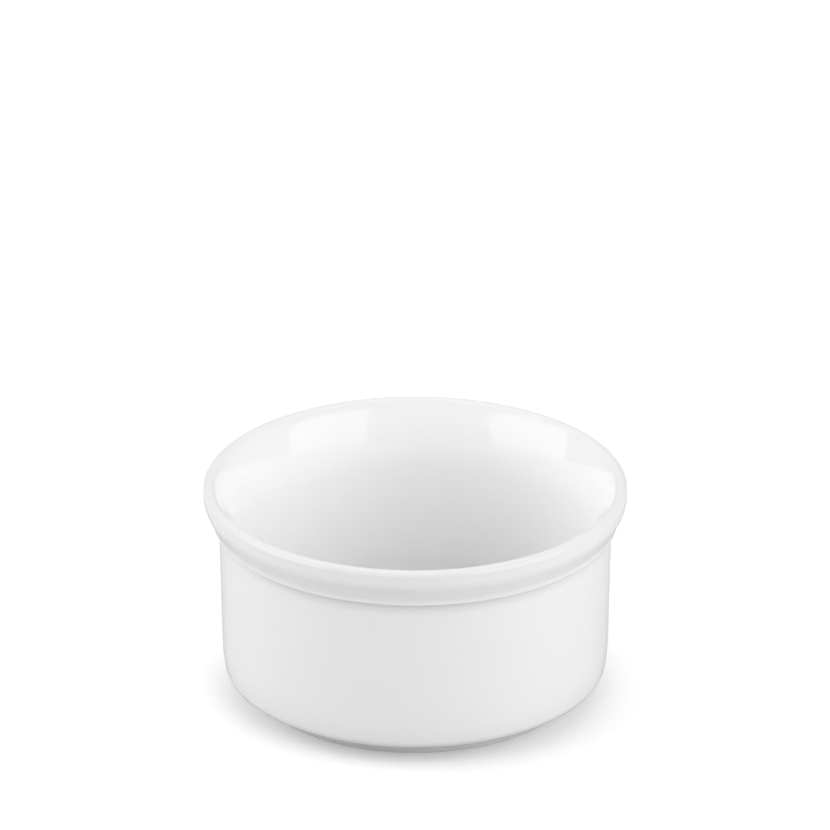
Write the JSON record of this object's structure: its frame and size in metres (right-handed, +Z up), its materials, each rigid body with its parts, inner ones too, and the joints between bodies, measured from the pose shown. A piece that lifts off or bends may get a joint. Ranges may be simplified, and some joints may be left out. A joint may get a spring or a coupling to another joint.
{
  "type": "ramekin",
  "caption": "Round straight-walled ramekin in white glazed stoneware, with a rolled overhanging lip, a flared mouth and a bare foot ring.",
  "frame": {"origin": "centre of the foot ring's ground face, on the table", "axes": "+Z up along the axis of turning, out of the mouth; +X and +Y are alike on this turned body"},
  "size_m": [0.09, 0.09, 0.047],
  "materials": {
    "bare_stoneware": "unglazed, ground smooth where it stands",
    "white_glaze": "glossy white glaze"
  },
  "bodies": {
    "root": {"stoneware_body": "bare_stoneware", "glaze_coat": "white_glaze", "underside_glaze": "white_glaze"}
  },
  "joints": []
}
